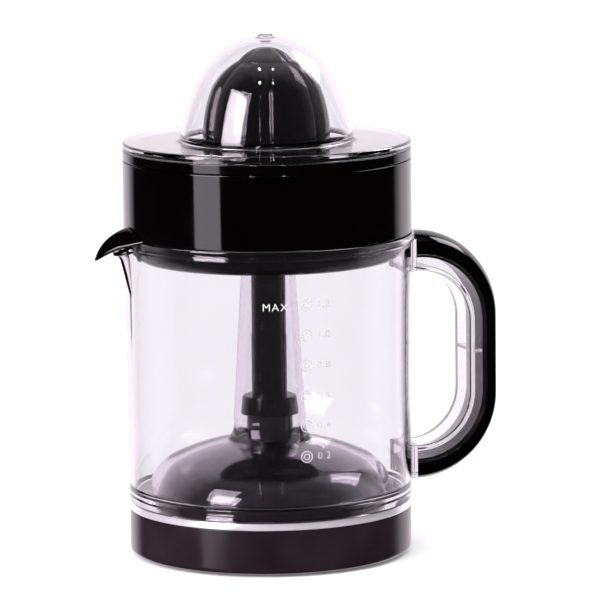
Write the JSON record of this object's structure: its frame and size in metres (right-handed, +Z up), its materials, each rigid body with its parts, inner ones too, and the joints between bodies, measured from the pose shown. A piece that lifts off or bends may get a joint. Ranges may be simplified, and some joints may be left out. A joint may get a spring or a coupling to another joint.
{
  "type": "citrus press juicer",
  "caption": "Motor-driven citrus press: clear jug on a black base, black collector with pouring hood, ribbed cones under a clear domed cover, clear and black loop handle.",
  "frame": {"origin": "on the drive axis, in the plane of the feet's undersides", "axes": "+X to the jug handle, -X to the spout, +Z up along the drive axis"},
  "size_m": [0.2051, 0.1432, 0.254],
  "materials": {
    "black_gloss": "polished black ABS",
    "black_satin": "satin black moulding",
    "clear_plastic": "clear moulded SAN",
    "chrome_trim": "bright chrome plating",
    "rubber_black": "matt black rubber",
    "steel": "bright turned or pressed steel",
    "core_steel": "laminated electrical steel",
    "bronze": "oiled sintered bronze",
    "copper_wire": "enamelled copper winding",
    "white_nylon": "natural white nylon",
    "brass_pinion": "cut brass",
    "switch_black": "moulded phenolic case"
  },
  "bodies": {
    "base": {"base_housing": "black_gloss", "chrome_trim_ring": "chrome_trim", "motor_cover": "black_gloss", "bottom_cover": "black_satin", "rubber_feet": "rubber_black", "bottom_screws": "steel", "plate_screws": "steel", "motor_screws": "steel", "motor_spacers": "steel", "cord_inlet_gland": "rubber_black", "gear_plate": "steel", "lower_spindle_bush": "bronze", "upper_spindle_bush": "bronze", "shaft_seal": "rubber_black", "rotor_bushes": "bronze", "idler_pin": "steel", "retaining_ring": "steel", "stator_core": "core_steel", "coil_bobbin": "white_nylon", "motor_coil": "copper_wire", "motor_bracket": "steel", "switch_body": "switch_black", "return_spring": "steel"},
    "press_carriage": {"thrust_cup": "white_nylon"},
    "spindle_assembly": {"spindle": "steel", "output_gear": "white_nylon", "drive_sleeve": "black_satin", "drip_collar": "black_satin"},
    "rotor_assembly": {"rotor": "core_steel", "rotor_shaft": "steel", "motor_pinion": "brass_pinion"},
    "idler": {"compound_gear": "white_nylon"},
    "switch_button": {"switch_plunger": "white_nylon"},
    "jug_assembly": {"jug": "clear_plastic", "jug_column": "clear_plastic", "jug_handle": "clear_plastic", "handle_cover": "black_gloss"},
    "collector_assembly": {"collector": "black_gloss", "pouring_hood": "black_gloss"},
    "strainer_assembly": {"strainer": "black_gloss"},
    "cover_assembly": {"dust_cover": "clear_plastic"},
    "cone_drive": {"drive_socket": "white_nylon"},
    "cones": {"large_cone": "black_gloss", "small_cone": "black_gloss"}
  },
  "joints": [
    {"name": "spindle_press", "type": "slide", "parent": "base", "child": "press_carriage", "axis": [0, 0, 1], "range_m": [-0.0025, 0], "stiffness_N_per_m": 2400, "springref_m": 0.004, "deforming": ["return_spring"]},
    {"name": "spindle_spin", "type": "hinge", "parent": "press_carriage", "child": "spindle_assembly", "pos_m": [0, 0, 0.1], "axis": [0, 0, 1], "continuous": true},
    {"name": "idler_spin", "type": "hinge", "parent": "base", "child": "idler", "pos_m": [-0.02425, 0.014, 0.03], "axis": [0, 0, 1], "continuous": true},
    {"name": "rotor_spin", "type": "hinge", "parent": "base", "child": "rotor_assembly", "pos_m": [-0.0337, -0.00271, 0.012], "axis": [0, 0, 1], "continuous": true},
    {"name": "switch_press", "type": "slide", "parent": "base", "child": "switch_button", "axis": [0, 0, 1], "range_m": [-0.0025, 0]},
    {"name": "jug_lift", "type": "slide", "parent": "base", "child": "jug_assembly", "axis": [0, 0, 1], "range_m": [0, 0.2]},
    {"name": "collector_lift", "type": "slide", "parent": "jug_assembly", "child": "collector_assembly", "axis": [0, 0, 1], "range_m": [0, 0.08]},
    {"name": "strainer_lift", "type": "slide", "parent": "collector_assembly", "child": "strainer_assembly", "axis": [0, 0, 1], "range_m": [0, 0.06]},
    {"name": "cover_lift", "type": "slide", "parent": "strainer_assembly", "child": "cover_assembly", "axis": [0, 0, 1], "range_m": [0, 0.07]},
    {"name": "cone_spin", "type": "hinge", "parent": "strainer_assembly", "child": "cone_drive", "pos_m": [0, 0, 0.2], "axis": [0, 0, 1], "continuous": true},
    {"name": "cone_press", "type": "slide", "parent": "cone_drive", "child": "cones", "axis": [0, 0, 1], "range_m": [-0.0025, 0]}
  ],
  "couplings": [
    {"joint": "idler_spin", "follows": "rotor_spin", "ratio": -0.33333},
    {"joint": "spindle_spin", "follows": "rotor_spin", "ratio": 0.11111},
    {"joint": "cone_spin", "follows": "rotor_spin", "ratio": 0.11111},
    {"joint": "cone_press", "follows": "spindle_press", "ratio": 1},
    {"joint": "switch_press", "follows": "spindle_press", "ratio": 1}
  ]
}
